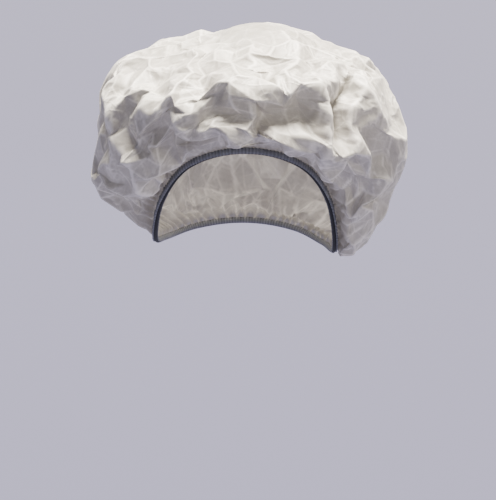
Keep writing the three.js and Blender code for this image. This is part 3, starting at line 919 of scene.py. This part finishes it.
class CAP_OT_edge(bpy.types.Operator):
    """Builds the ruched hem and the elastic in it"""

    bl_idname = "cap.edge"
    bl_label = "Hem and elastic"

    def execute(self, context):
        colors = context.scene.cap_colors
        form = Form(context.scene.cap_sizes)
        for name, node, steps, section, color, finish in (
            ("hem_cloth", "gathered_hem", HEM_STEPS, hem_section, colors.hem, HEM_SHADE_AND_GRAIN),
            ("elastic_cord", "elastic_loop", ELASTIC_STEPS, elastic_section,
             colors.elastic, ELASTIC_SHADE_AND_GRAIN),
        ):
            points, faces = loop_mesh(form, steps, section)
            piece = mesh_object(name, points, faces)
            # finish holds the painted shade between the pleats, the grain and the relief.
            piece.data.materials.append(plain_cloth(name, color, *finish))
            # How far the pleats stand out, which sets the painted shade between them.
            raised = piece.data.attributes.new("raised", "FLOAT", "POINT")
            corners = len(points) // steps
            wave = hem_wave(np.arange(steps) * FULL_TURN / steps)
            raised.data.foreach_set("value", np.repeat(0.25 + 0.75 * wave, corners))
            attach(piece, "root")
            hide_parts(node)
        return {"FINISHED"}


class CAP_OT_stage(bpy.types.Operator):
    """Builds the floor, the lights and the camera"""

    bl_idname = "cap.stage"
    bl_label = "Floor, lights and camera"

    def execute(self, context):
        stage = context.scene.cap_stage
        form = Form(context.scene.cap_sizes)
        floor_z = CAD_BOX[0].z - stage.floor_drop
        bpy.ops.mesh.primitive_plane_add(size=FLOOR_SIZE, location=(0, 0, floor_z))
        floor = context.object
        floor.name = "floor"
        shader = Shader("pale_floor")
        matt = shader.node(
            "ShaderNodeBsdfPrincipled", None, {"Base Color": rgba(FLOOR_COLOR), "Roughness": 0.9})
        floor.data.materials.append(shader.finish(matt))

        focal = stage.distance / stage.pixel
        back = Vector((0, -math.cos(stage.elevation), math.sin(stage.elevation)))
        rotation = back.to_track_quat("Z", "Y")
        right, upward = rotation @ Vector((1, 0, 0)), rotation @ Vector((0, 1, 0))
        anchor = Vector(form.elastic_point(np.array([0.0]))[0])
        aside = (FRONT_X - IMAGE_WIDTH / 2) / focal * stage.distance
        lower = (FRONT_Y - IMAGE_HEIGHT / 2) / focal * stage.distance
        data = bpy.data.cameras.new("camera")
        data.lens = focal / IMAGE_HEIGHT * SENSOR
        data.sensor_width = SENSOR
        camera = bpy.data.objects.new("camera", data)
        camera.location = anchor + back * stage.distance - right * aside + upward * lower
        camera.rotation_mode = "QUATERNION"
        camera.rotation_quaternion = rotation
        context.scene.collection.objects.link(camera)
        context.scene.camera = camera

        for name, kind, spot, size, power, color in LIGHTS:
            light = bpy.data.lights.new(name, kind)
            light.energy, light.color = power, color
            if kind == "SUN":
                light.angle = math.radians(size)
            else:
                light.size = size
            lamp = bpy.data.objects.new(name, light)
            lamp.location = spot
            lamp.rotation_mode = "QUATERNION"
            lamp.rotation_quaternion = Vector(spot).to_track_quat("Z", "Y")
            context.scene.collection.objects.link(lamp)
        world = bpy.data.worlds.new("studio")
        world.use_nodes = True
        background = world.node_tree.nodes["Background"]
        background.inputs["Color"].default_value = rgba(WORLD_COLOR)
        background.inputs["Strength"].default_value = WORLD_STRENGTH
        context.scene.world = world
        return {"FINISHED"}


class CAP_PT_panel(bpy.types.Panel):
    """Lists the cap's settings and operators"""

    bl_idname = "CAP_PT_panel"
    bl_label = "Disposable beret cap"
    bl_space_type = "VIEW_3D"
    bl_region_type = "UI"
    bl_category = "Cap"

    def draw(self, context):
        for group in (context.scene.cap_sizes, context.scene.cap_colors, context.scene.cap_stage):
            for name in type(group).__annotations__:
                self.layout.prop(group, name)
        for operator in OPERATORS:
            self.layout.operator(operator.bl_idname)


GROUPS = {"cap_sizes": CapSizes, "cap_colors": CapColors, "cap_stage": StageSettings}
OPERATORS = (CAP_OT_crown, CAP_OT_edge, CAP_OT_stage)


def register():
    for cls in (*GROUPS.values(), *OPERATORS, CAP_PT_panel):
        bpy.utils.register_class(cls)
    for name, group in GROUPS.items():
        setattr(bpy.types.Scene, name, bpy.props.PointerProperty(type=group))


def unregister():
    for name in GROUPS:
        delattr(bpy.types.Scene, name)
    for cls in (CAP_PT_panel, *reversed(OPERATORS), *GROUPS.values()):
        bpy.utils.unregister_class(cls)


def main():
    register()
    bpy.ops.cap.crown()
    bpy.ops.cap.edge()
    bpy.ops.cap.stage()


if __name__ == "__main__":
    main()
